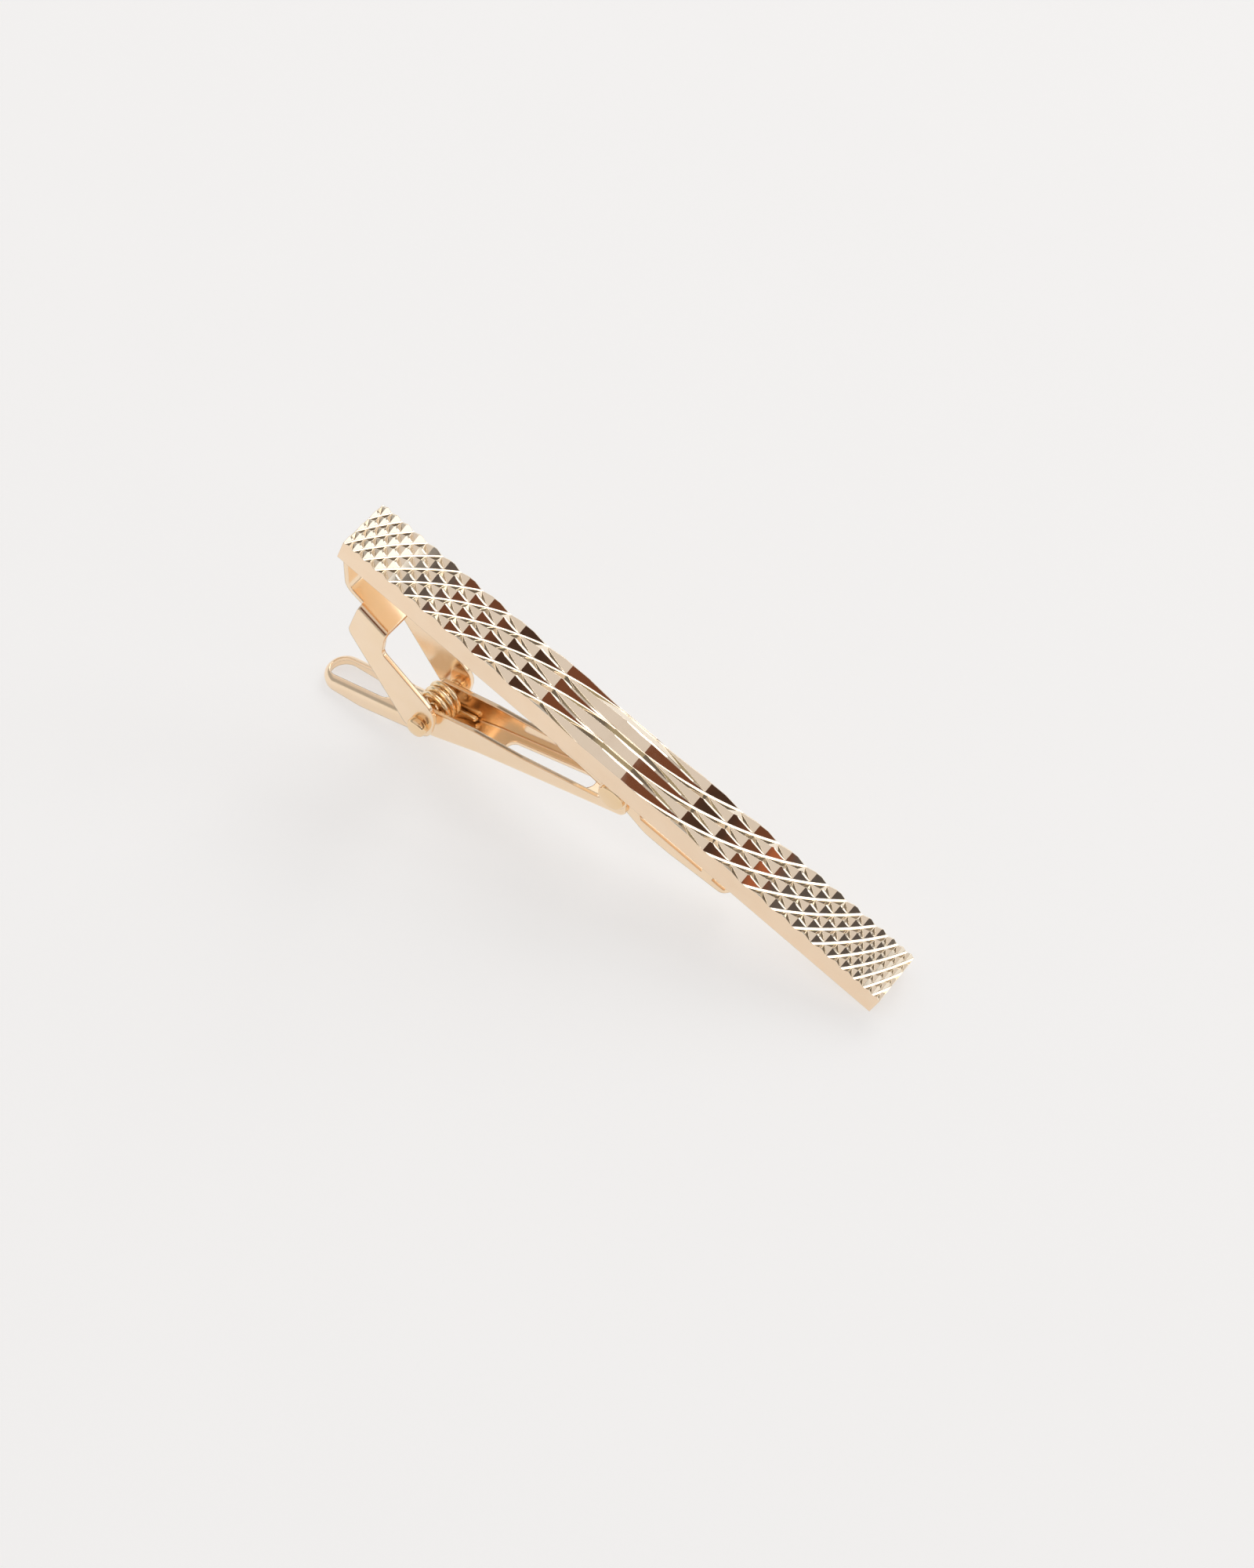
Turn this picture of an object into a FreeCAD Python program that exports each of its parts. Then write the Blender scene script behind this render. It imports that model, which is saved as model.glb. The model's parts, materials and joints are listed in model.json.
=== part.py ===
"""Tie clip: a diamond-cut bar with a sprung alligator jaw behind it.

The clip lies on its back: the far end of the bar and the thumb loop of the lever touch the table.
Each piece is drawn in the bar's own frame, x along the bar from its left end, y across it and
z out of its patterned face, with z = 0 on the flat back. The whole clip is then laid on the table.
"""
import FreeCAD, Part
import math
import os

from FreeCAD import Vector

# Bar
bar_length = 58.0
bar_width = 5.25
groove_level = 2.42
groove_radius_share = 0.5517
groove_radius = bar_length * groove_radius_share
facet_slope_deg = 31.0
rows_across = 3
strips_at_middle = 5
edge_ease_share = 0.45

# Pins: where the lever and the jaw turn, measured from the bar's left end and its back
main_pin_along = 13.1
main_pin_depth = 12.6
main_pin_radius = 0.6
main_head_radius = 0.95
main_head_height = 0.85
jaw_pin_along = 30.3
jaw_pin_depth = 2.0
jaw_pin_radius = 0.42
jaw_head_radius = 1.25
jaw_head_height = 0.5
head_bevel_share = 0.35
fixed_clearance = 0.02
running_clearance = 0.05

# Bracket: one bent sheet, with a foot on the bar's back, a neck, a web and two legs
bracket_sheet = 0.45
bracket_half_width = 2.9
neck_half_width = 2.1
foot_length = 6.0
neck_inset = 0.5
neck_drop = 3.7
neck_lean = 1.2
web_along = 6.8
web_drop = 5.05
foot_bend_radius = 0.5
web_bend_radius = 1.3
leg_bend_radius = 0.75
leg_left_along = 3.6
# Leg corners: share of the main pin's place along the bar, of its depth, and of the bend's radius
leg_corner_shares = [
    (0.275, 0.630, 1.6),
    (0.908, 1.123, 1.2),
    (1.103, 1.107, 1.7),
    (1.076, 0.774, 3.2),
    (0.553, 0.587, 0.8),
]

# Lever: a channel before the pin, and behind it a thumb loop whose walls turn in at the top
lever_sheet = 0.4
lever_half_width = 1.85
fold_radius = 0.5
ear_height = 1.9
under_depth = 2.65
tail_length = 13.3
loop_front = 2.6
loop_turn_radius = 0.9
loop_hole_half_width = 1.15
loop_hole_front = 4.9
lever_end_radius = 1.4
slot_half_width = 0.8
slot_start = 6.9
slot_end = 16.6
corner_radius = 0.5
# Lower edge: share of the tail behind the pin or of the arm before it, of the depth, and of the corner
tail_under_shares = [(-1.1, 0.49, 0.0), (-0.64, 1.0, 8.0)]
arm_under_shares = [(0.0, 1.03, 12.0), (0.255, 0.87, 16.0), (1.034, 0.92, 1.4), (1.065, 0.0, 0.0)]
# Upper edge: share of the arm or of the tail, of the ear's height, and of the corner
arm_upper_shares = [(1.0, -0.2, 0.0), (0.91, -0.53, 2.0), (0.7, -0.31, 8.0), (0.51, -0.12, 8.0),
                    (0.27, 0.33, 8.0)]
ear_shares = [(-0.045, 0.61, 1.0)]
tail_upper_shares = [(-0.12, -0.55, 0.8), (-1.1, -0.25, 0.0)]

# Jaw: a channel open towards the bar, hung on the second pin
jaw_gap = 0.1
jaw_sheet = 0.35
jaw_side_gap = 0.2
jaw_back_reach = 8.9
jaw_front_reach = 13.1
jaw_depth = 2.3
jaw_corner = 0.5
jaw_tip_round = 0.9
recess_depth = 3.0
tooth_length = 1.1
tip_recess_length = 1.4
# Lower edge: share of the reach behind or before the pin, of the depth under it, and of the corner
jaw_back_shares = [(-1.0, -0.24, 1.0), (-0.66, 0.34, 3.0), (-0.46, 0.3, 3.0), (-0.1, 0.46, 3.0)]
jaw_front_shares = [(0.12, 0.64, 3.0), (0.3, 0.98, 5.0), (0.5, 0.97, 5.0), (0.93, 0.7, 2.0),
                    (1.0, 0.16, 1.0)]
recess_start_share = 0.1
recess_slope_share = 0.13

# Spring: one wire wound on the main pin between the lever's walls
wire_diameter = 0.35
coil_mean_radius = 1.6
coil_pitch = 0.85
coil_turns = 2
arm_length = 2.6
arm_dip_deg = 3.0
hook_radius = 0.4
hook_gap = 0.06
leg_arm_length = 2.6
bends_per_turn = 2

overrun = 5.0


def xz(x, z, y=0.0):
    """A point given along the bar, out of it and, last, across it."""
    return Vector(x, y, z)


def rounded_wire(corners):
    """A closed wire through (x, z, radius) corners, each rounded by an arc of its radius."""
    edges = []
    ends = []
    count = len(corners)
    for i, (x, z, radius) in enumerate(corners):
        here = xz(x, z)
        back = xz(*corners[i - 1][:2]) - here
        ahead = xz(*corners[(i + 1) % count][:2]) - here
        turn = back.getAngle(ahead)
        if radius == 0 or math.pi - turn < math.radians(1):
            ends.append((here, here))
            continue
        back.normalize()
        ahead.normalize()
        reach = radius / math.tan(turn / 2)
        start = here + back * reach
        end = here + ahead * reach
        middle = back + ahead
        middle.normalize()
        centre = here + middle * (radius / math.sin(turn / 2))
        edges.append(Part.Arc(start, centre - middle * radius, end).toShape())
        ends.append((start, end))
    for i in range(count):
        start = ends[i - 1][1]
        end = ends[i][0]
        if start.distanceToPoint(end) > 0:
            edges.append(Part.makeLine(start, end))
    return Part.Wire(Part.__sortEdges__(edges))


def plate(corners, half_width):
    """A flat plate of the given side outline, as thick as both half widths across the bar."""
    face = Part.Face(rounded_wire(corners))
    face.translate(xz(0, 0, -half_width))
    return face.extrude(xz(0, 0, 2 * half_width))


def pin_bore(along, depth, radius):
    """A round bar across the clip, long enough to cut every wall on a pin's axis."""
    length = 2 * (bracket_half_width + overrun)
    return Part.makeCylinder(radius, length, xz(along, -depth, -length / 2), xz(0, 0, 1))


def rivet(along, depth, radius, head_radius, head_height, seat):
    """A pin with a bevelled head on each outer face of the walls that it joins."""
    top = seat + head_height
    bevel = head_height * head_bevel_share
    line = [
        Vector(0, top, 0),
        Vector(head_radius - bevel, top, 0),
        Vector(head_radius, top - bevel, 0),
        Vector(head_radius, seat, 0),
        Vector(radius, seat, 0),
    ]
    other_end = [Vector(p.x, -p.y, 0) for p in reversed(line)]
    profile = Part.Face(Part.makePolygon(line + other_end + line[:1]))
    pin = profile.revolve(Vector(0, 0, 0), Vector(0, 1, 0), 360)
    pin.translate(xz(along, -depth))
    return pin


def groove_drift(x):
    """How far a groove's arc has moved across the bar, x from mid-length."""
    return groove_radius - math.sqrt(groove_radius ** 2 - x ** 2)


def groove_reach(drift):
    """Distance from mid-length at which a groove's arc has moved across by the drift."""
    return math.sqrt(groove_radius ** 2 - (groove_radius - drift) ** 2)


def front_bar():
    """The bar: two families of arc-shaped V grooves cross on its face and leave rows of pyramids."""
    half = bar_length / 2
    step = bar_width / rows_across / 2
    slope = math.tan(math.radians(facet_slope_deg))
    last_drift = groove_drift(half)

    # Places along the bar: each crossing of the grooves, finer strips by the middle, and the end
    drifts = [step * i / strips_at_middle for i in range(2 * strips_at_middle)]
    crossing = 2
    while crossing * step < last_drift:
        drifts.append(crossing * step)
        crossing += 1
    drifts.append(last_drift)

    def peak(x):
        """Height of a whole pyramid: the grooves close up towards the bar's ends."""
        lean = math.sqrt(1 - (x / groove_radius) ** 2)
        return step * slope * lean

    def column(x, drift):
        """Face points across the bar at one place: row points and the groove between each two."""
        number = int(drift / step + 1e-9)
        part = drift / step - number
        points = []
        for row in range(-rows_across, rows_across + 1):
            is_crossing = (row + number) % 2 == rows_across % 2
            height = peak(x) * (part if is_crossing else 1 - part)
            if abs(row) == rows_across:
                height *= edge_ease_share
            points.append(Vector(x + half, row * step, groove_level + height))
            if row < rows_across:
                shift = part if is_crossing else 1 - part
                points.append(Vector(x + half, (row + shift) * step, groove_level))
        return points

    def columns_on_side(side):
        return [column(side * groove_reach(d), d) for d in drifts]

    columns = columns_on_side(-1)[:0:-1] + columns_on_side(1)
    faces = []

    def facet(*corners):
        """A flat facet, unless two of its corners fall together."""
        least = step / 1000
        for i, a in enumerate(corners):
            if a.distanceToPoint(corners[i - 1]) < least:
                return
        faces.append(Part.Face(Part.makePolygon(list(corners) + [corners[0]])))

    for left, right in zip(columns, columns[1:]):
        for i in range(len(left) - 1):
            facet(left[i], right[i], right[i + 1])
            facet(left[i], right[i + 1], left[i + 1])

    def foot(point):
        return Vector(point.x, point.y, 0)

    def wall(top_line):
        line = [top_line[0]]
        for point in top_line[1:]:
            if point.distanceToPoint(line[-1]) > step / 1000:
                line.append(point)
        ring = line + [foot(line[-1]), foot(line[0]), line[0]]
        faces.append(Part.Face(Part.makePolygon(ring)))

    wall([c[0] for c in columns])
    wall([c[-1] for c in columns])
    wall(columns[0])
    wall(columns[-1])
    base = [columns[0][0], columns[-1][0], columns[-1][-1], columns[0][-1], columns[0][0]]
    faces.append(Part.Face(Part.makePolygon([foot(p) for p in base])))
    skin = Part.makeCompound(faces)
    skin.sewShape()
    return Part.Solid(skin.Shells[0] if skin.Shells else skin)


def sheet_on(corners, half_width, thickness):
    """A bent strip: its middle line runs through (x, z, radius) corners, open at both ends."""
    edges = []
    start = xz(*corners[0][:2])
    for before, corner, after in zip(corners, corners[1:], corners[2:]):
        here = xz(*corner[:2])
        back = xz(*before[:2]) - here
        ahead = xz(*after[:2]) - here
        turn = back.getAngle(ahead)
        back.normalize()
        ahead.normalize()
        reach = corner[2] / math.tan(turn / 2)
        middle = back + ahead
        middle.normalize()
        centre = here + middle * (corner[2] / math.sin(turn / 2))
        edges.append(Part.makeLine(start, here + back * reach))
        bend = Part.Arc(here + back * reach, centre - middle * corner[2], here + ahead * reach)
        edges.append(bend.toShape())
        start = here + ahead * reach
    edges.append(Part.makeLine(start, xz(*corners[-1][:2])))
    path = Part.Wire(edges)
    across = thickness / 2
    first = corners[0]
    ring = [
        xz(first[0], first[1] - across, -half_width),
        xz(first[0], first[1] + across, -half_width),
        xz(first[0], first[1] + across, half_width),
        xz(first[0], first[1] - across, half_width),
    ]
    section = Part.makePolygon(ring + ring[:1])
    return path.makePipeShell([section], True, False)


def bracket():
    """The stirrup: a foot on the bar's back, a neck, and a web whose sides fold down into legs."""
    half_sheet = bracket_sheet / 2
    strip = sheet_on([
        (neck_inset + foot_length, -half_sheet, 0),
        (neck_inset, -half_sheet, foot_bend_radius),
        (neck_inset + neck_lean, -neck_drop, web_bend_radius),
        (web_along, -web_drop, 0),
    ], neck_half_width, bracket_sheet)

    run = web_along - neck_inset - neck_lean
    fall = (web_drop - neck_drop) / run
    skin = half_sheet * math.sqrt(1 + fall ** 2)

    def web_top(x):
        return -web_drop + (web_along - x) * fall + skin

    corners = [(leg_left_along, web_top(leg_left_along), 0)]
    for along_share, depth_share, bend_share in leg_corner_shares:
        radius = bend_share * leg_bend_radius
        corners.append((along_share * main_pin_along, -depth_share * main_pin_depth, radius))
    corners.append((web_along, web_top(web_along), 0))
    saddle = plate(corners, bracket_half_width)

    def folds(shape, radius):
        """The two long edges where the web turns down into the legs, rounded."""
        lean = Vector(1, 0, -fall)
        edges = []
        for edge in shape.Edges:
            along = edge.Vertexes[-1].Point - edge.Vertexes[0].Point
            middle = edge.CenterOfMass
            if along.Length > 0 and along.cross(lean).Length < along.Length / 100:
                if abs(middle.z - web_top(middle.x)) < bracket_sheet * 1.5:
                    edges.append(edge)
        return shape.makeFillet(radius, edges)

    saddle = folds(saddle, leg_bend_radius)
    low = -main_pin_depth - overrun
    left = leg_left_along - overrun
    right = main_pin_along + overrun
    inside = plate([
        (left, web_top(left) - 2 * skin, 0),
        (left, low, 0),
        (right, low, 0),
        (right, web_top(right) - 2 * skin, 0),
    ], bracket_half_width - bracket_sheet)
    inside = folds(inside, leg_bend_radius - bracket_sheet)
    legs = saddle.cut(inside)
    bore = pin_bore(main_pin_along, main_pin_depth, main_pin_radius + fixed_clearance)
    return legs.fuse(strip).removeSplitter().cut(bore)


def lever_reach():
    """Distance from the main pin to the jaw's pin."""
    return math.hypot(jaw_pin_along - main_pin_along, main_pin_depth - jaw_pin_depth)


def lever_slant_deg():
    """Slant of the line through both pins, against the bar."""
    rise = main_pin_depth - jaw_pin_depth
    return math.degrees(math.atan2(rise, jaw_pin_along - main_pin_along))


def seat_lever(shape):
    """Carries a shape from the lever's own frame, with the main pin as origin, to the bar's frame."""
    shape.rotate(Vector(0, 0, 0), Vector(0, -1, 0), lever_slant_deg())
    shape.translate(xz(main_pin_along, -main_pin_depth))
    return shape


def lever_lower_edge():
    """Corners of the lever's lower edge, from the loop's end to the jaw's pin."""
    reach = lever_reach()
    corners = []
    for shares, length in ((tail_under_shares, tail_length), (arm_under_shares, reach)):
        for along, depth, bend in shares:
            corners.append((along * length, -depth * under_depth, bend * corner_radius))
    return corners


def lever_upper_edge():
    """Corners of the lever's upper edge, from the jaw's pin back to the loop's end."""
    reach = lever_reach()
    corners = []
    for shares, length in ((arm_upper_shares + ear_shares, reach), (tail_upper_shares, tail_length)):
        for along, height, bend in shares:
            corners.append((along * length, height * ear_height, bend * corner_radius))
    return corners


def stadium(start, end, radius, low, high):
    """An upright block with round ends, from start to end along the lever."""
    side = Vector(0, radius, 0)
    a = Vector(start + radius, 0, low)
    b = Vector(end - radius, 0, low)
    outline = [
        Part.makeLine(a - side, b - side),
        Part.Arc(b - side, b + Vector(radius, 0, 0), b + side).toShape(),
        Part.makeLine(b + side, a + side),
        Part.Arc(a + side, a - Vector(radius, 0, 0), a - side).toShape(),
    ]
    return Part.Face(Part.Wire(outline)).extrude(Vector(0, 0, high - low))


def side_edges(shape, lowest, highest):
    """Edges of the two outer side walls that lie wholly between two heights."""
    box = shape.BoundBox
    near = box.YLength / 1000
    edges = []
    for edge in shape.Edges:
        at = edge.BoundBox
        on_side = at.YLength < near and min(at.YMin - box.YMin, box.YMax - at.YMax) < near
        if on_side and at.ZMin > lowest and at.ZMax < highest:
            edges.append(edge)
    return edges


def lever_loop(low):
    """The thumb loop: an open ring whose wall turns in at the top round a long hole."""
    upper = [corner[:2] for corner in lever_upper_edge()[-2:]]
    lower = lever_lower_edge()[:3]
    slope = (upper[1][1] - upper[0][1]) / (upper[1][0] - upper[0][0])
    front_height = upper[0][1] - (upper[0][0] + loop_front) * slope
    inner = lever_half_width - lever_sheet

    def domed(side, end, half_width, turn_radius):
        """A block with a round end, its upper rim rounded along both sides and round the end."""
        block = plate(side, half_width).common(stadium(end, overrun, half_width, 2 * low, overrun))
        lid = max(block.Faces, key=lambda face: face.CenterOfMass.z)
        rim = [edge for edge in lid.Edges if edge.BoundBox.XLength > lever_sheet]
        return block.makeFillet(turn_radius, rim)

    top = (-loop_front, front_height, 0)
    outer = [upper[1] + (0,), lower[0], lower[1], (-loop_front, lower[2][1], 0), top]
    block = domed(outer, -tail_length, lever_half_width, loop_turn_radius)
    drop = lever_sheet * math.sqrt(1 + slope ** 2)
    inside = [
        (upper[1][0], upper[1][1] - drop, 0),
        (upper[1][0], low, 0),
        (-loop_front, low, 0),
        (-loop_front, front_height - drop, 0),
    ]
    hollow = domed(inside, lever_sheet - tail_length, inner, loop_turn_radius - lever_sheet)
    side = lever_half_width - loop_hole_half_width
    hole = stadium(side - tail_length, -loop_hole_front, loop_hole_half_width, low, overrun)
    return block.cut(hollow).cut(hole)


def lever():
    """The lever: side walls and a slotted floor from one folded sheet, with a loop for the thumb."""
    reach = lever_reach()
    lower = lever_lower_edge()
    low = -under_depth - overrun
    high = ear_height + overrun
    inner = lever_half_width - lever_sheet
    wide = 2 * (lever_half_width + overrun)
    tail = Part.makeBox(2 * tail_length, wide, high - low,
                        Vector(-loop_front - 2 * tail_length, -wide / 2, low))
    body = plate(lower + lever_upper_edge(), lever_half_width).cut(tail)
    body = body.makeFillet(fold_radius, side_edges(body, low, -under_depth / 2))
    ends = Part.makeCylinder(lever_end_radius, 2 * lever_half_width,
                             Vector(reach, -lever_half_width, 0), Vector(0, 1, 0))
    body = body.fuse(ends)

    floor = [(x, z + lever_sheet, r) for x, z, r in lower[1:-1]]
    channel = floor[:-1]
    channel += [(reach + overrun, floor[-1][1], 0), (reach + overrun, high, 0), (floor[0][0], high, 0)]
    inside = plate([channel[0][:2] + (0,)] + channel[1:], inner)
    inside = inside.makeFillet(fold_radius - lever_sheet, side_edges(inside, low, -under_depth / 2))
    body = body.cut(inside)
    body = body.cut(stadium(slot_start, slot_end, slot_half_width, low, high))
    floor_end = reach - lever_end_radius - running_clearance
    mouth = Part.makeBox(overrun, 2 * inner, high - low, Vector(floor_end, -inner, low))
    body = body.cut(mouth).fuse(lever_loop(low)).removeSplitter()
    body = seat_lever(body)
    body = body.cut(pin_bore(main_pin_along, main_pin_depth, main_pin_radius + running_clearance))
    return body.cut(pin_bore(jaw_pin_along, jaw_pin_depth, jaw_pin_radius + fixed_clearance))


def jaw():
    """The jaw: a channel whose walls bear on the bar's back, with a long recess and a front tooth."""
    half_width = lever_half_width - lever_sheet - jaw_side_gap
    lower = []
    for shares, length in ((jaw_back_shares, jaw_back_reach), (jaw_front_shares, jaw_front_reach)):
        for along, depth, bend in shares:
            place = jaw_pin_along + along * length
            lower.append((place, -jaw_pin_depth - depth * jaw_depth, bend * jaw_corner))
    top = -jaw_gap
    back = jaw_pin_along - jaw_back_reach
    tip = jaw_pin_along + jaw_front_reach
    recess = jaw_pin_along + recess_start_share * jaw_front_reach
    slope = recess_slope_share * jaw_front_reach
    tooth = tip - jaw_tip_round - tip_recess_length - tooth_length
    upper = [
        (tip, top, jaw_corner),
        (tip - jaw_tip_round, top, 0),
        (tip - jaw_tip_round, -recess_depth, 0),
        (tooth + tooth_length, -recess_depth, 0),
        (tooth + tooth_length, top, 0),
        (tooth, top, 0),
        (tooth, -recess_depth, 0),
        (recess + slope, -recess_depth, 0),
        (recess, top, 0),
        (back, top, jaw_corner),
    ]
    body = plate(lower + upper, half_width)
    plan = stadium(back, tip, half_width, -jaw_pin_depth - overrun, overrun)
    body = body.common(plan)
    floor = [(x, z + jaw_sheet, r) for x, z, r in lower[1:-1]]
    inside = [(back + jaw_sheet, floor[0][1], 0)] + floor
    inside += [(tip - jaw_sheet, floor[-1][1], 0), (tip - jaw_sheet, overrun, 0)]
    inside += [(back + jaw_sheet, overrun, 0)]
    inner = half_width - jaw_sheet
    hollow = plate(inside, inner)
    hollow = hollow.common(stadium(back + jaw_sheet, tip - jaw_sheet, inner,
                                   -jaw_pin_depth - overrun, 2 * overrun))
    body = body.cut(hollow)
    return body.cut(pin_bore(jaw_pin_along, jaw_pin_depth, jaw_pin_radius + running_clearance))


def biarc(start, start_way, end, end_way):
    """Two arcs that leave start and reach end along the given ways, and meet smoothly."""
    chord = end - start
    both = start_way + end_way
    a = 2 * (1 - start_way.dot(end_way))
    b = 2 * chord.dot(both)
    c = -chord.dot(chord)
    reach = (-b + math.sqrt(b * b - 4 * a * c)) / (2 * a)
    meet = (start + end + (start_way - end_way) * reach) * (1 / 2)
    middle_way = meet - start - start_way * reach
    middle_way.normalize()

    def arc(p, way, q):
        """An arc from p, along its way there, to q."""
        line = q - p
        side = line - way * line.dot(way)
        rise = side.Length
        side.normalize()
        radius = line.dot(line) / (2 * rise)
        centre = p + side * radius
        middle = (p + q) * (1 / 2) - centre
        middle.normalize()
        return Part.Arc(p, centre + middle * radius, q).toShape()

    return [arc(start, start_way, meet), arc(meet, middle_way, end)]


def quarter_bend(start, way, new_way, radius):
    """A bend from one way to another at right angles, and the point where it ends."""
    centre = start + new_way * radius
    end = centre + way * radius
    middle = centre + (way - new_way) * (radius * math.sqrt(1 / 2))
    return Part.Arc(start, middle, end).toShape(), end


def spring():
    """The torsion spring: a coil on the main pin, one arm on the lever's floor, one at the near leg."""
    radius = coil_mean_radius
    first = math.pi
    last = 2 * math.pi * (coil_turns + 1) - math.radians(90 + arm_dip_deg)
    advance = coil_pitch / (2 * math.pi)
    middle = (first + last) / 2
    bend = 2 * math.pi / bends_per_turn

    def place(angle):
        return Vector(radius * math.cos(angle), advance * (angle - middle), radius * math.sin(angle))

    def way(angle):
        tangent = Vector(-radius * math.sin(angle), advance, radius * math.cos(angle))
        tangent.normalize()
        return tangent

    steps = math.ceil((last - first) / bend)
    angles = [first + (last - first) * i / steps for i in range(steps + 1)]

    # Arm to the near leg: drawn from its end, then along the leg, and into the coil
    coil_start = place(first)
    arm_way = way(first)
    turn = coil_start - arm_way * leg_arm_length
    outward = Vector(0, -1, 0)
    outward = outward - arm_way * outward.dot(arm_way)
    outward.normalize()
    near_bend, hook_start = quarter_bend(turn, arm_way * -1, outward, hook_radius)
    near_face = bracket_half_width - bracket_sheet - hook_gap
    near_end = hook_start + outward * ((near_face + hook_start.y) / -outward.y)
    edges = [
        Part.makeLine(near_end, hook_start),
        near_bend,
        Part.makeLine(turn, coil_start),
    ]
    for a, b in zip(angles, angles[1:]):
        edges += biarc(place(a), way(a), place(b), way(b))

    # Arm on the lever: straight, down to the floor by the far wall
    coil_end = place(last)
    edges.append(Part.makeLine(coil_end, coil_end + way(last) * arm_length))

    path = Part.Wire(edges)
    start_way = hook_start - near_end
    section = Part.Wire(Part.makeCircle(wire_diameter / 2, near_end, start_way))
    wire = path.makePipeShell([section], True, False)
    print("spring wire, least gap to itself: %.3f mm" % least_gap(path))
    return seat_lever(wire)


def least_gap(path):
    """Least gap between two stretches of the wire that are not neighbours along it."""
    points = path.discretize(Distance=wire_diameter / 3)
    skip = math.ceil(math.pi * coil_mean_radius / (wire_diameter / 3))
    least = path.Length
    for i, a in enumerate(points):
        for b in points[i + skip:]:
            least = min(least, a.distanceToPoint(b))
    return least - wire_diameter


def resting_tilt_deg(rest_shape):
    """Slant that lays the bar's right end and the lever's loop on the table together."""
    corner = xz(bar_length, 0)
    steepest = 0.0
    for edge in rest_shape.Edges:
        for point in edge.discretize(Distance=lever_sheet / 4):
            if point.x < main_pin_along:
                steepest = max(steepest, math.atan2(corner.z - point.z, corner.x - point.x))
    return math.degrees(steepest)


def main():
    os.makedirs("parts", exist_ok=True)
    nodes = {
        "front_bar": front_bar(),
        "bracket": bracket(),
        "main_pin": rivet(main_pin_along, main_pin_depth, main_pin_radius, main_head_radius,
                          main_head_height, bracket_half_width),
        "lever": lever(),
        "jaw": jaw(),
        "jaw_pin": rivet(jaw_pin_along, jaw_pin_depth, jaw_pin_radius, jaw_head_radius,
                         jaw_head_height, lever_half_width),
        "spring": spring(),
    }
    tilt = resting_tilt_deg(nodes["lever"])
    for shape in nodes.values():
        shape.rotate(Vector(0, 0, 0), Vector(0, 1, 0), tilt)
    box = FreeCAD.BoundBox()
    for shape in nodes.values():
        box.add(shape.optimalBoundingBox(False, False))
    shift = Vector(-box.Center.x, -box.Center.y, -box.ZMin)
    print("table slant %.3f deg, shift %.4f %.4f %.4f" % (tilt, shift.x, shift.y, shift.z))
    print("size %.2f x %.2f x %.2f mm" % (box.XLength, box.YLength, box.ZLength))
    for name, along, depth in (("main pin", main_pin_along, main_pin_depth),
                               ("jaw pin", jaw_pin_along, jaw_pin_depth)):
        spot = FreeCAD.Rotation(Vector(0, 1, 0), tilt).multVec(xz(along, -depth)) + shift
        print("%s at %.4f %.4f %.4f" % (name, spot.x, spot.y, spot.z))
    for name, shape in nodes.items():
        shape.translate(shift)
        solid = shape.Solids[0] if len(shape.Solids) == 1 else shape
        print(name, "solids", len(shape.Solids), "valid", shape.isValid(), "volume %.2f" % shape.Volume)
        solid.exportStep("parts/%s.step" % name)


main()
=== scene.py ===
"""Looks of the tie clip: materials, the bar's finished relief, rivets, the wound spring, floor and light.

Lengths are in millimetres in the bar's own frame (x along the bar from its left end, y across it,
z out of its face) until on_table() carries them to the part's frame in metres.
"""

import json
import math

import bmesh
import bpy
from mathutils import Matrix, Vector

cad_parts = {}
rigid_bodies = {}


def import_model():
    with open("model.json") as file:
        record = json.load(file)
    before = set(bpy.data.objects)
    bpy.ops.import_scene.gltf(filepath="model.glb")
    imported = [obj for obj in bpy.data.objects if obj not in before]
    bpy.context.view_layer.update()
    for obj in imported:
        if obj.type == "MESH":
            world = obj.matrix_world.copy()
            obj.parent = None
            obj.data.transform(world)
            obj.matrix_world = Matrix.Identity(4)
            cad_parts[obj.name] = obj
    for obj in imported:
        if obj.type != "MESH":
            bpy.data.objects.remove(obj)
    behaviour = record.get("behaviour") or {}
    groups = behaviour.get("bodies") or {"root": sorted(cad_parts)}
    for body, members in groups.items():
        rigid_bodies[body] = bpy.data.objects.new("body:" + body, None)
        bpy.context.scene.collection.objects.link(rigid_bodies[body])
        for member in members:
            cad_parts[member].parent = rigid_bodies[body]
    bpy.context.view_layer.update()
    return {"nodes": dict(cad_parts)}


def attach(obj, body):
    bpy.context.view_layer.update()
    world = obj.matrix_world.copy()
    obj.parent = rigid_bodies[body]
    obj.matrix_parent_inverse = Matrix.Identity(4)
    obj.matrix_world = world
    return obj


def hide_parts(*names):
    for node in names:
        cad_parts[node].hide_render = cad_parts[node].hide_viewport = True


# How the bar lies on the table
SLANT = math.radians(20.830)
SHIFT = Vector((-25.0498, 0.0, 20.6247))

# Bar
BAR_LENGTH = 58.0
BAR_WIDTH = 5.25
GROOVE_LEVEL = 2.38
GROOVE_RADIUS = BAR_LENGTH * 0.5517
GROOVE_PITCH = BAR_WIDTH / 3
FACET_SLOPE = math.radians(36.5)
CUT_HEIGHT = 0.75
PATTERN_MIDDLE = 28.6
FAMILY_OFFSETS = {1: -0.12, -1: -0.04}
EDGE_HEIGHT = 2.68
EDGE_BEVEL = 0.3
RIDGE_CHAMFER = 0.08

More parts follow.
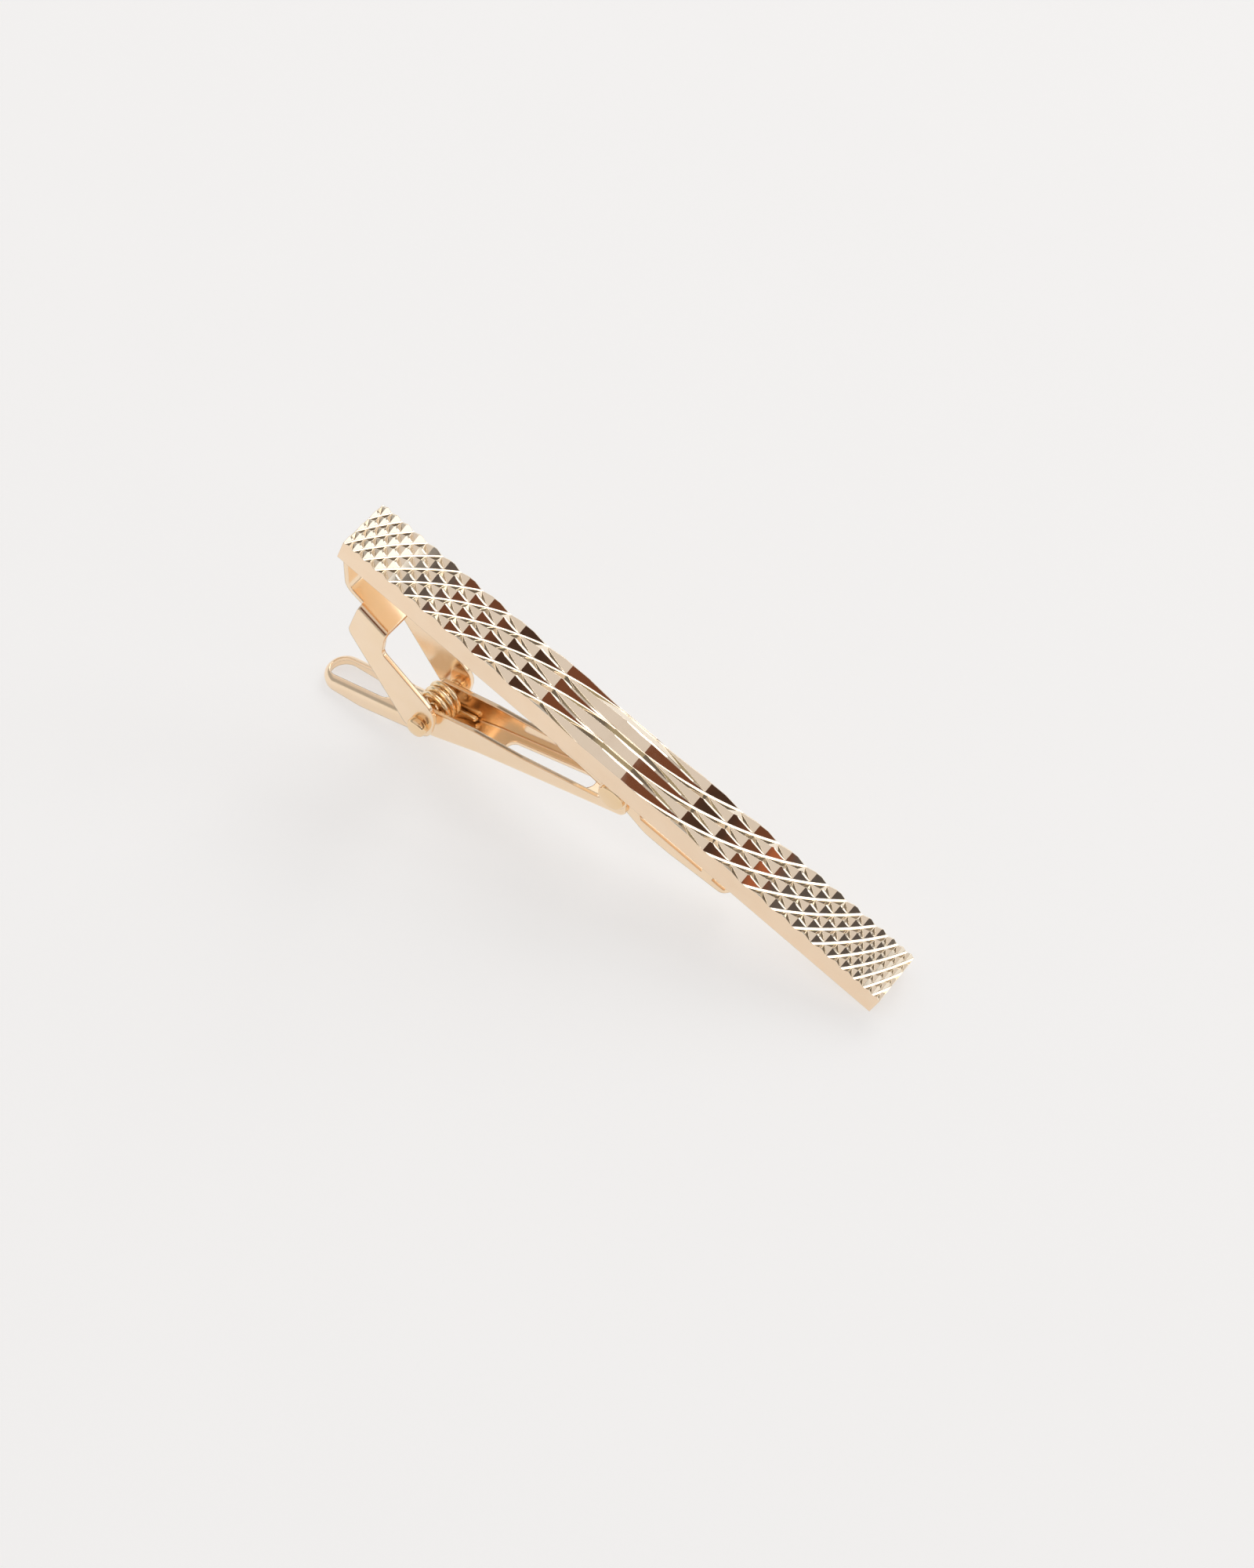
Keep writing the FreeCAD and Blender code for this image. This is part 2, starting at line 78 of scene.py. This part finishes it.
# Cuts, by their distance from the pattern's middle: they get steeper towards the bar's ends,
# and a flat bottom opens and deepens where they climb
END_STEEPER = math.radians(3.5)
STEEPER_FROM = 15.0
STEEPER_OVER = 8.0
NARROW_FLAT = 0.02
WIDE_FLAT = 0.17
CLIMB_FROM = 1.0
CLIMB_OVER = 6.0
CLIMB_DEPTH = 0.012
LEFT_CLIMB = 0.6

# Pins: place of the axis, then radius, head radius, head height and where the head sits
MAIN_PIN = (13.1, -12.6)
JAW_PIN = (30.3, -2.0)
MAIN_RIVET = (MAIN_PIN, 0.6, 0.95, 0.85, 2.9)
JAW_RIVET = (JAW_PIN, 0.42, 1.25, 0.5, 1.85)
# A rivet head's outline from its seat to its top, as shares of its radius and height
HEAD_OUTLINE = ((0.88, 0.0), (0.9, 0.08), (0.985, 0.14), (1.0, 0.22), (1.0, 0.5), (0.98, 0.63),
                (0.935, 0.75), (0.86, 0.84), (0.74, 0.89), (0.68, 0.9), (0.5, 0.955), (0.25, 0.99),
                (0.1, 1.0))

# Spring
WIRE = 0.56
COIL_RADIUS = 1.5
COIL_PITCH = 0.7
COIL_TURNS = 3

# Floor: half its side in metres, and the lift that shows to the camera and in the metal
FLOOR_HALF = 2.5
FLOOR_LIFT = 0.555

# Studio: what the polished metal mirrors. Each patch has an azimuth and an elevation, the angles
# at which it fades out and at which it is full, in degrees, and a shade; later ones lie on top
ROOM_SHADE = (0.42, 0.41, 0.4)
HORIZON_SHADE = (0.87, 0.866, 0.855)
WHITE = (1.8, 1.79, 1.76)
SKY = (
    ((40, 20, 30, 22), (0.36, 0.33, 0.3)),        # dim wall behind the clip
    ((0, 90, 56, 50), (0.7, 0.64, 0.6)),          # ceiling
    ((44, 38, 11, 8), WHITE),                     # cards for the crests
    ((34, 26, 8, 6), WHITE),
    ((32, 14, 8, 6), WHITE),
    ((150, 30, 14, 8), (1.4, 1.39, 1.37)),        # card on the left
    ((126, 58, 20, 12), (0.2, 0.18, 0.16)),       # dark cards, seen after two bounces in a cut
    ((30, 66, 22, 14), (0.15, 0.14, 0.135)),
    ((12, 73, 7, 4), (0.38, 0.36, 0.29)),
    ((-15, 6, 22, 15), (0.1, 0.085, 0.08)),       # dark card for the facets of the right half
    ((-1, 22, 9, 7), (1.25, 1.25, 1.25)),         # white cards for the facets of the left end
    ((-11, 25, 7.5, 5.5), (1.25, 1.25, 1.25)),
    ((-27, 23.5, 7, 4.5), (0.11, 0.09, 0.085)),   # grey, brown and orange of the middle facets
    ((-55, 37, 13, 11), (0.17, 0.062, 0.032)),
    ((-39, 29, 11, 8), (0.15, 0.058, 0.032)),
    ((-48, 34, 7, 3), (0.06, 0.032, 0.022)),
    ((-33, 25.5, 2.6, 1.2), (0.4, 0.12, 0.055)),
)
LAMP_DISTANCE = 1.1

# Camera, fitted to the bar's corners in the photograph
CAMERA_PLACE = (0.093278, -0.125827, 0.209799)
CAMERA_RIGHT = Vector((0.812215, 0.583357, -0.000619))
CAMERA_UP = Vector((-0.462434, 0.644499, 0.608914))
CAMERA_LENS = 69.847


def on_table(x, y, z):
    """Carries a point of the bar's frame, in millimetres, to the part's frame in metres."""
    c, s = math.cos(SLANT), math.sin(SLANT)
    return (Vector((x * c + z * s, y, z * c - x * s)) + SHIFT) / 1000


def from_lever(u, y, v):
    """Carries a point of the lever's frame, with the main pin as origin, to the part's frame."""
    lean = math.atan2(JAW_PIN[1] - MAIN_PIN[1], JAW_PIN[0] - MAIN_PIN[0])
    c, s = math.cos(lean), math.sin(lean)
    return on_table(MAIN_PIN[0] + u * c - v * s, y, MAIN_PIN[1] + u * s + v * c)


# ---- Materials ----

def node(tree, kind, **values):
    """Adds a node; values name its inputs or its own settings."""
    n = tree.nodes.new(kind)
    for name, value in values.items():
        if name in n.inputs:
            n.inputs[name].default_value = value
        else:
            setattr(n, name, value)
    return n


def metal(name, colour, tint, roughness, spread, edge_radius=0.00008):
    """Polished plate: faint cloudy tint, uneven polish, fine scratches and softened edges."""
    mat = bpy.data.materials.new(name)
    mat.use_nodes = True
    tree = mat.node_tree
    tree.nodes.clear()
    out = node(tree, "ShaderNodeOutputMaterial")
    shader = node(tree, "ShaderNodeBsdfPrincipled", Metallic=1.0)
    place = node(tree, "ShaderNodeTexCoord")

    cloud = node(tree, "ShaderNodeTexNoise", Scale=420.0, Detail=3.0)
    tree.links.new(place.outputs["Object"], cloud.inputs["Vector"])
    shades = node(tree, "ShaderNodeValToRGB")
    shades.color_ramp.elements[0].position = 0.35
    shades.color_ramp.elements[0].color = tint + (1.0,)
    shades.color_ramp.elements[1].position = 0.65
    shades.color_ramp.elements[1].color = colour + (1.0,)
    tree.links.new(cloud.outputs["Fac"], shades.inputs["Fac"])
    tree.links.new(shades.outputs["Color"], shader.inputs["Base Color"])

    polish = node(tree, "ShaderNodeTexNoise", Scale=1400.0, Detail=4.0)
    tree.links.new(place.outputs["Object"], polish.inputs["Vector"])
    level = node(tree, "ShaderNodeMapRange")
    level.inputs["From Min"].default_value = 0.3
    level.inputs["From Max"].default_value = 0.7
    level.inputs["To Min"].default_value = roughness - spread
    level.inputs["To Max"].default_value = roughness + spread
    tree.links.new(polish.outputs["Fac"], level.inputs["Value"])
    tree.links.new(level.outputs["Result"], shader.inputs["Roughness"])

    stretch = node(tree, "ShaderNodeMapping")
    stretch.inputs["Rotation"].default_value = (0.3, SLANT, 0.2)
    stretch.inputs["Scale"].default_value = (300.0, 9000.0, 9000.0)
    scratch = node(tree, "ShaderNodeTexNoise", Scale=1.0, Detail=2.0)
    tree.links.new(place.outputs["Object"], stretch.inputs["Vector"])
    tree.links.new(stretch.outputs["Vector"], scratch.inputs["Vector"])
    soft = node(tree, "ShaderNodeBevel", samples=8, Radius=edge_radius)
    bump = node(tree, "ShaderNodeBump", Strength=0.001, Distance=0.00002)
    tree.links.new(scratch.outputs["Fac"], bump.inputs["Height"])
    tree.links.new(soft.outputs["Normal"], bump.inputs["Normal"])
    tree.links.new(bump.outputs["Normal"], shader.inputs["Normal"])
    tree.links.new(shader.outputs["BSDF"], out.inputs["Surface"])
    return mat


def floor_material():
    """Plain pale paper."""
    mat = bpy.data.materials.new("floor_paper")
    mat.use_nodes = True
    tree = mat.node_tree
    shader = tree.nodes["Principled BSDF"]
    shader.inputs["Roughness"].default_value = 0.9
    shader.inputs["Specular IOR Level"].default_value = 0.1
    place = node(tree, "ShaderNodeTexCoord")
    grain = node(tree, "ShaderNodeTexNoise", Scale=60.0, Detail=5.0)
    tree.links.new(place.outputs["Object"], grain.inputs["Vector"])
    shades = node(tree, "ShaderNodeValToRGB")
    shades.color_ramp.elements[0].color = (0.45, 0.455, 0.46, 1.0)
    shades.color_ramp.elements[1].color = (0.465, 0.47, 0.475, 1.0)
    tree.links.new(grain.outputs["Fac"], shades.inputs["Fac"])
    tree.links.new(shades.outputs["Color"], shader.inputs["Base Color"])
    path = node(tree, "ShaderNodeLightPath")
    seen = None
    for ray in ("Is Camera Ray", "Is Glossy Ray", "Is Transmission Ray"):
        add = node(tree, "ShaderNodeMath", operation="MAXIMUM")
        tree.links.new(path.outputs[ray], add.inputs[0])
        if seen:
            tree.links.new(seen, add.inputs[1])
        seen = add.outputs["Value"]
    lift = node(tree, "ShaderNodeMath", operation="MULTIPLY")
    lift.inputs[1].default_value = FLOOR_LIFT
    tree.links.new(seen, lift.inputs[0])
    shader.inputs["Emission Color"].default_value = (1.0, 1.0, 1.0, 1.0)
    tree.links.new(lift.outputs["Value"], shader.inputs["Emission Strength"])
    return mat


# ---- Bar ----

def solid_object(rings, name):
    """A closed mesh through rings of as many points each, in the order of travel."""
    bm = bmesh.new()
    loops = [[bm.verts.new(p) for p in ring] for ring in rings]
    for a, b in zip(loops, loops[1:]):
        for i in range(len(a)):
            bm.faces.new((a[i - 1], a[i], b[i], b[i - 1]))
    bm.faces.new(loops[0])
    bm.faces.new(list(reversed(loops[-1])))
    bmesh.ops.recalc_face_normals(bm, faces=bm.faces)
    mesh = bpy.data.meshes.new(name)
    bm.to_mesh(mesh)
    bm.free()
    return bpy.data.objects.new(name, mesh)


def cut_slope(lean, x):
    """Slope of a cut's walls: steeper to the right, and to the left for the family that falls there."""
    past = max(0.0, (abs(x) - STEEPER_FROM) / STEEPER_OVER)
    if x > 0:
        past = min(1.0, past)
    elif lean < 0:
        past = 0.0
    return FACET_SLOPE + END_STEEPER * past


def groove(lean, start, first, last):
    """One arc-shaped cut: a V whose narrow bottom widens where it climbs towards the far edge."""
    steps = max(2, round(math.degrees(abs(last - first))))
    rings = []
    for i in range(steps + 1):
        turn = first + (last - first) * i / steps
        x = GROOVE_RADIUS * math.sin(turn)
        y = start + lean * GROOVE_RADIUS * (1 - math.cos(turn))
        across = Vector((-math.sin(lean * turn), math.cos(turn), 0.0))
        climb = min(1.0, max(0.0, (lean * x - CLIMB_FROM) / CLIMB_OVER)) * (1.0 if x > 0 else LEFT_CLIMB)
        flat = (NARROW_FLAT + (WIDE_FLAT - NARROW_FLAT) * climb) / 2
        depth = CLIMB_DEPTH * climb
        wide = flat + (CUT_HEIGHT + depth) / math.tan(cut_slope(lean, x))
        centre = Vector((PATTERN_MIDDLE + x, y, GROOVE_LEVEL - depth))
        lift = Vector((0.0, 0.0, CUT_HEIGHT + depth))
        rings.append([centre - across * flat, centre + across * flat,
                      centre + across * wide + lift, centre - across * wide + lift])
    return solid_object(rings, "groove")


def grooves():
    """Both families of cuts, each arc only where it runs over the bar."""
    margin = BAR_WIDTH / 2 + 2.6
    end_turn = math.asin((BAR_LENGTH / 2 + 1.2) / GROOVE_RADIUS)
    end_drift = GROOVE_RADIUS * (1 - math.cos(end_turn))
    cuts = []
    for lean in (1, -1):
        for n in range(-20, 20):
            start = (n + 0.5) * GROOVE_PITCH + FAMILY_OFFSETS[lean]
            low = max(0.0, -lean * start - margin)
            high = min(end_drift, -lean * start + margin)
            if high <= low:
                continue
            first = math.acos(1 - low / GROOVE_RADIUS)
            last = math.acos(1 - high / GROOVE_RADIUS)
            spans = [(-last, last)] if low == 0 else [(-last, -first), (first, last)]
            cuts += [groove(lean, start, a, b) for a, b in spans]
    return cuts


def crests():
    """Narrow cuts that break the crest from each diamond's top to its right corner.

    Both families cross on rows along the bar, so every such crest runs straight along its row.
    """
    starts = {lean: [(n + 0.5) * GROOVE_PITCH + FAMILY_OFFSETS[lean] for n in range(-25, 25)]
              for lean in (1, -1)}
    offset = (FAMILY_OFFSETS[-1] - FAMILY_OFFSETS[1]) / 2
    cuts = []
    for q in range(-6, 7):
        row = ((q + 1) * GROOVE_PITCH + sum(FAMILY_OFFSETS.values())) / 2
        if abs(row) > BAR_WIDTH / 2 - 0.15:
            continue
        places = []
        for k in range(q % 2, 40, 2):
            drift = k * GROOVE_PITCH / 2 + offset
            if 0 <= drift < GROOVE_RADIUS:
                reach = math.sqrt(GROOVE_RADIUS ** 2 - (GROOVE_RADIUS - drift) ** 2)
                places += [reach, -reach]
        places = sorted(p for p in places if abs(p) < BAR_LENGTH / 2 + 3)

        def height(x):
            away = [abs(GROOVE_RADIUS - math.hypot(x, row - start - lean * GROOVE_RADIUS))
                    for lean in (1, -1) for start in starts[lean]]
            return min(away) * math.tan(FACET_SLOPE)

        for left, right in zip(places, places[1:]):
            xs = [left + (right - left) * i / 24 for i in range(25)]
            top = max(xs, key=height)
            if height(top) < 0.25:
                continue
            xs = [top + (right - top) * i / 6 for i in range(7)]
            rings = []
            for x in xs:
                cos = math.sqrt(1 - (x / GROOVE_RADIUS) ** 2) if abs(x) < GROOVE_RADIUS else 0.2
                deep = RIDGE_CHAMFER * math.tan(FACET_SLOPE) * cos * min(1.0, (x - top) / 0.2)
                low = GROOVE_LEVEL + max(0.02, height(x) - deep - WIDE_FLAT / 4)
                near, far = row - RIDGE_CHAMFER - 0.02, row + RIDGE_CHAMFER + 0.02
                high = GROOVE_LEVEL + CUT_HEIGHT + 0.1
                at = PATTERN_MIDDLE + x
                rings.append([Vector((at, near, low)), Vector((at, far, low)),
                              Vector((at, far, high)), Vector((at, near, high))])
            cuts.append(solid_object(rings, "crest"))
    return cuts


def bar_relief(name, materials):
    """The bar: a block with eased upper edges, and every groove cut out of it."""
    side = BAR_WIDTH / 2
    top = GROOVE_LEVEL + CUT_HEIGHT * 0.9
    ring = [(-side, 0.0), (side, 0.0), (side, EDGE_HEIGHT), (side - EDGE_BEVEL, top),
            (EDGE_BEVEL - side, top), (-side, EDGE_HEIGHT)]
    block = solid_object([[(x, y, z) for y, z in ring] for x in (0.0, BAR_LENGTH)], name + "_block")
    tools = bpy.data.collections.new("grooves")
    for cut in grooves() + crests():
        tools.objects.link(cut)
    bpy.context.scene.collection.objects.link(block)
    bpy.context.scene.collection.children.link(tools)
    carve = block.modifiers.new("carve", "BOOLEAN")
    carve.operation = "DIFFERENCE"
    carve.operand_type = "COLLECTION"
    carve.collection = tools
    carve.solver = "MANIFOLD"
    graph = bpy.context.evaluated_depsgraph_get()
    mesh = bpy.data.meshes.new_from_object(block.evaluated_get(graph))
    for obj in list(tools.objects) + [block]:
        bpy.data.objects.remove(obj)
    bpy.data.collections.remove(tools)
    mesh.materials.clear()
    for m in materials:
        mesh.materials.append(m)
    for poly in mesh.polygons:
        poly.material_index = 0 if poly.normal.z > 0.3 else 1
    for v in mesh.vertices:
        v.co = on_table(*v.co)
    mesh.shade_smooth()
    mesh.set_sharp_from_angle(angle=math.radians(1.9))
    obj = bpy.data.objects.new(name, mesh)
    bpy.context.scene.collection.objects.link(obj)
    return obj


# ---- Pins and spring ----

def rivet(name, place, radius, head_radius, head_height, seat, material, sides=56):
    """A pin with a rounded head, undercut where it sits, on each outer face of the walls it joins."""
    line = [(head_radius * r, seat + head_height * h) for r, h in HEAD_OUTLINE]
    line = [(r, -y) for r, y in reversed(line)] + [(radius, -seat), (radius, seat)] + line
    rings = []
    for r, y in line:
        turns = [2 * math.pi * i / sides for i in range(sides)]
        rings.append([on_table(place[0] + r * math.cos(t), y, place[1] + r * math.sin(t)) for t in turns])
    obj = solid_object(rings, name)
    obj.data.materials.append(material)
    obj.data.shade_smooth()
    obj.data.set_sharp_from_angle(angle=math.radians(50))
    bpy.context.scene.collection.objects.link(obj)
    return obj


def tube(points, radius, name, sides=14):
    """A closed round wire through the points, with domed ends."""
    ways = [(b - a).normalized() for a, b in zip(points, points[1:])]
    ways = [ways[0]] + [(a + b).normalized() for a, b in zip(ways, ways[1:])] + [ways[-1]]
    side = ways[0].orthogonal().normalized()
    rings = []

    def ring(centre, way, r):
        up = way.cross(side)
        turns = [2 * math.pi * i / sides for i in range(sides)]
        rings.append([centre + (side * math.cos(t) + up * math.sin(t)) * r for t in turns])

    domes = (0.35, 0.75, 0.95)
    for share in domes:
        back = radius * math.sqrt(1 - share ** 2)
        ring(points[0] - ways[0] * back, ways[0], radius * share)
    for centre, way in zip(points, ways):
        side = (side - way * side.dot(way)).normalized()
        ring(centre, way, radius)
    for share in reversed(domes):
        back = radius * math.sqrt(1 - share ** 2)
        ring(points[-1] + ways[-1] * back, ways[-1], radius * share)
    obj = solid_object(rings, name)
    obj.data.shade_smooth()
    bpy.context.scene.collection.objects.link(obj)
    return obj


def spring_points():
    """The wire's line: hook at the near leg, arm, coil on the pin, arm along the lever's floor."""
    first = math.pi
    last = 2 * math.pi * (COIL_TURNS + 1) - math.radians(93)
    advance = COIL_PITCH / (2 * math.pi)
    middle = (first + last) / 2
    points = []
    start_y = advance * (first - middle)
    for y, v in ((-2.1, 2.95), (-1.75, 2.95), (-1.45, 2.82), (-1.27, 2.5), (start_y - 0.02, 1.6)):
        points.append(from_lever(-COIL_RADIUS, y, v))
    steps = 26 * COIL_TURNS + 20
    for i in range(steps + 1):
        angle = first + (last - first) * i / steps
        points.append(from_lever(COIL_RADIUS * math.cos(angle), advance * (angle - middle),
                                 COIL_RADIUS * math.sin(angle)))
    end_y = advance * (last - middle)
    for u, v in ((0.8, -1.6), (1.7, -1.66), (2.6, -1.7)):
        points.append(from_lever(u, end_y, v))
    return points


# ---- Stage ----

def direction(azimuth, elevation):
    """Unit vector towards a place in the sky, given in degrees."""
    a, e = math.radians(azimuth), math.radians(elevation)
    return Vector((math.cos(e) * math.cos(a), math.cos(e) * math.sin(a), math.sin(e)))


def studio():
    """A plain room with a pale horizon and the cards that the metal mirrors, and two soft lamps."""
    world = bpy.data.worlds.new("studio")
    bpy.context.scene.world = world
    world.use_nodes = True
    tree = world.node_tree
    tree.nodes.clear()
    out = node(tree, "ShaderNodeOutputWorld")
    back = node(tree, "ShaderNodeBackground", Strength=1.0)
    place = node(tree, "ShaderNodeTexCoord")
    colour = None

    def toward(azimuth, elevation, wide, narrow):
        """1 within the narrow angle of a direction, 0 beyond the wide one."""
        dot = node(tree, "ShaderNodeVectorMath", operation="DOT_PRODUCT")
        tree.links.new(place.outputs["Generated"], dot.inputs[0])
        dot.inputs[1].default_value = direction(azimuth, elevation)
        level = node(tree, "ShaderNodeMapRange", interpolation_type="SMOOTHSTEP")
        level.inputs["From Min"].default_value = math.cos(math.radians(wide))
        level.inputs["From Max"].default_value = math.cos(math.radians(narrow))
        tree.links.new(dot.outputs["Value"], level.inputs["Value"])
        return level.outputs["Result"]

    def horizon(wide, narrow):
        """1 within the narrow angle above or below the floor's far edge, 0 beyond the wide one."""
        split = node(tree, "ShaderNodeSeparateXYZ")
        tree.links.new(place.outputs["Generated"], split.inputs["Vector"])
        size = node(tree, "ShaderNodeMath", operation="ABSOLUTE")
        tree.links.new(split.outputs["Z"], size.inputs[0])
        level = node(tree, "ShaderNodeMapRange", interpolation_type="SMOOTHSTEP")
        level.inputs["From Min"].default_value = math.sin(math.radians(wide))
        level.inputs["From Max"].default_value = math.sin(math.radians(narrow))
        tree.links.new(size.outputs["Value"], level.inputs["Value"])
        return level.outputs["Result"]

    def patch(fac, shade):
        nonlocal colour
        mix = node(tree, "ShaderNodeMix", data_type="RGBA")
        tree.links.new(fac, mix.inputs[0])
        if colour is None:
            mix.inputs[6].default_value = ROOM_SHADE + (1.0,)
        else:
            tree.links.new(colour, mix.inputs[6])
        mix.inputs[7].default_value = shade + (1.0,)
        colour = mix.outputs[2]

    patch(horizon(13, 7), HORIZON_SHADE)
    for spot, shade in SKY:
        patch(toward(*spot), shade)
    tree.links.new(colour, back.inputs["Color"])
    tree.links.new(back.outputs["Background"], out.inputs["Surface"])

    lamp("key", (73, 59), (55, 52), 0.31, 0.15, 0.3)
    lamp("fill", (95, 44), (95, 32), 0.6, 0.6, 2.6)


def lamp(name, first, last, length, width, energy):
    """A soft lamp, long in the direction from the first place in the sky to the last."""
    light = bpy.data.lights.new(name, "AREA")
    light.shape = "RECTANGLE"
    light.size = length
    light.size_y = width
    light.energy = energy
    light.color = (1.0, 0.99, 0.98)
    obj = bpy.data.objects.new(name, light)
    out = (direction(*first) + direction(*last)).normalized()
    along = direction(*last) - direction(*first)
    along = (along - out * along.dot(out)).normalized()
    turn = Matrix((along, out.cross(along), out)).transposed().to_4x4()
    obj.matrix_world = Matrix.Translation(out * LAMP_DISTANCE) @ turn
    bpy.context.scene.collection.objects.link(obj)


def floor():
    """A wide sheet just under the clip."""
    mesh = bpy.data.meshes.new("floor")
    half = FLOOR_HALF
    mesh.from_pydata([(-half, -half, 0), (half, -half, 0), (half, half, 0), (-half, half, 0)], [],
                     [(0, 1, 2, 3)])
    obj = bpy.data.objects.new("floor", mesh)
    obj.location.z = -0.00002
    mesh.materials.append(floor_material())
    bpy.context.scene.collection.objects.link(obj)


def camera():
    """The photograph's view."""
    data = bpy.data.cameras.new("camera")
    data.sensor_fit = "VERTICAL"
    data.sensor_height = 36.0
    data.lens = CAMERA_LENS
    data.clip_start = 0.005
    back = CAMERA_RIGHT.cross(CAMERA_UP)
    turn = Matrix((CAMERA_RIGHT, CAMERA_UP, back)).transposed().to_4x4()
    obj = bpy.data.objects.new("camera", data)
    obj.matrix_world = Matrix.Translation(CAMERA_PLACE) @ turn
    bpy.context.scene.collection.objects.link(obj)
    bpy.context.scene.camera = obj


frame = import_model()
scene = bpy.context.scene
scene.view_settings.view_transform = "Standard"
scene.cycles.glossy_bounces = 6  # fewer leave black specks between the lever's walls

gold = metal("sheet_gold", (1.0, 0.795, 0.58), (0.985, 0.775, 0.545), 0.17, 0.02, 0.0002)
side_gold = metal("bar_side_gold", (1.0, 0.79, 0.58), (0.985, 0.765, 0.55), 0.13, 0.03)
pale = metal("bar_face_pale", (1.0, 0.89, 0.74), (0.97, 0.86, 0.7), 0.07, 0.02, 0.00005)
# Pins: a darker, more orange gold than the plates. This is painted shade standing in for the brown shade
# around the rivet heads.
pin_gold = metal("pin_gold", (0.97, 0.74, 0.48), (0.94, 0.7, 0.43), 0.15, 0.02)
wire_gold = metal("wire_gold", (1.0, 0.82, 0.57), (0.97, 0.78, 0.52), 0.22, 0.03, 0.00001)

for name, mat in (("front_bar", side_gold), ("bracket", gold), ("lever", gold), ("jaw", gold),
                  ("main_pin", pin_gold), ("jaw_pin", pin_gold), ("spring", wire_gold)):
    mesh = frame["nodes"][name].data
    mesh.materials.clear()
    mesh.materials.append(mat)

bar = bar_relief("bar_relief", (pale, side_gold))
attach(bar, "bar")
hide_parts("front_bar")

for name, body, sizes in (("main_pin", "bar", MAIN_RIVET), ("jaw_pin", "lever", JAW_RIVET)):
    pin = rivet(name + "_rivet", *sizes, pin_gold)
    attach(pin, body)
    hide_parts(name)

spring = tube(spring_points(), WIRE / 2000, "spring_wire")
spring.data.materials.append(wire_gold)
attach(spring, "lever")
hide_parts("spring")

studio()
floor()
camera()
